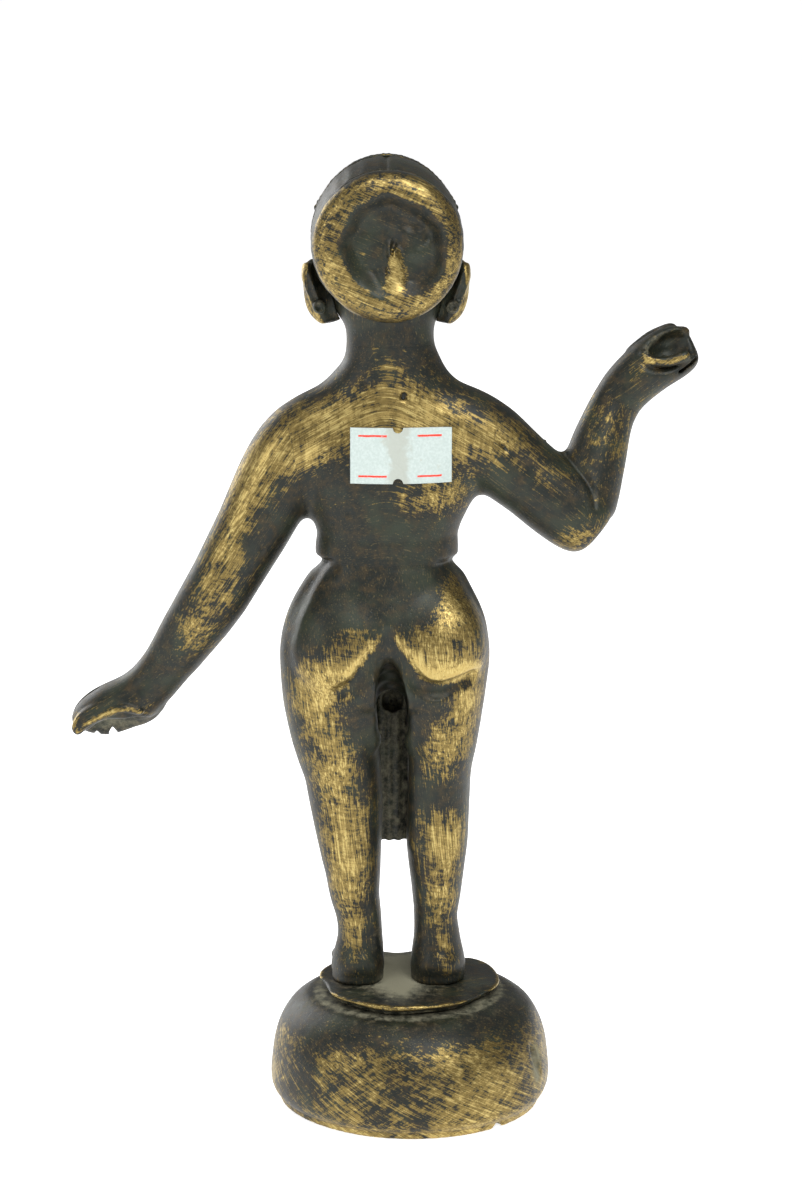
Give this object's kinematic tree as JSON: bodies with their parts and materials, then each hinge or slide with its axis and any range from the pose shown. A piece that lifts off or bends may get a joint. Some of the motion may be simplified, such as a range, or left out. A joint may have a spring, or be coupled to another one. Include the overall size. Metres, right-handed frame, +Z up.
{
  "type": "figurine",
  "caption": "Cast brass figure of a standing woman with one arm lowered, a raised cupped hand and a disc behind the head, on a round hollow plinth.",
  "frame": {"origin": "at the level of the plinth's underside, below the middle of the arm span and of the plinth's depth", "axes": "+Z up, the figure faces -Y, its left (lowered) arm is at +X"},
  "size_m": [0.1342, 0.0608, 0.2043],
  "materials": {
    "figure_brass": "dark brown patina worn through to bright brass, with file marks",
    "plinth_brass": "cross-hatched with file scratches, dark patina in the hollows",
    "label_paper": "grey-white paper with short red dashes"
  },
  "bodies": {
    "root": {"plinth_dome": "plinth_brass", "plinth_step": "plinth_brass", "lower_body": "figure_brass", "front_drape": "figure_brass", "torso": "figure_brass", "head": "figure_brass", "hair_disc": "figure_brass", "hair_band": "figure_brass", "left_ear": "figure_brass", "right_ear": "figure_brass", "left_ear_stud": "figure_brass", "right_ear_stud": "figure_brass", "left_arm": "figure_brass", "left_hand": "figure_brass", "right_upper_arm": "figure_brass", "right_forearm": "figure_brass", "right_hand": "figure_brass", "price_label": "label_paper"}
  },
  "joints": []
}
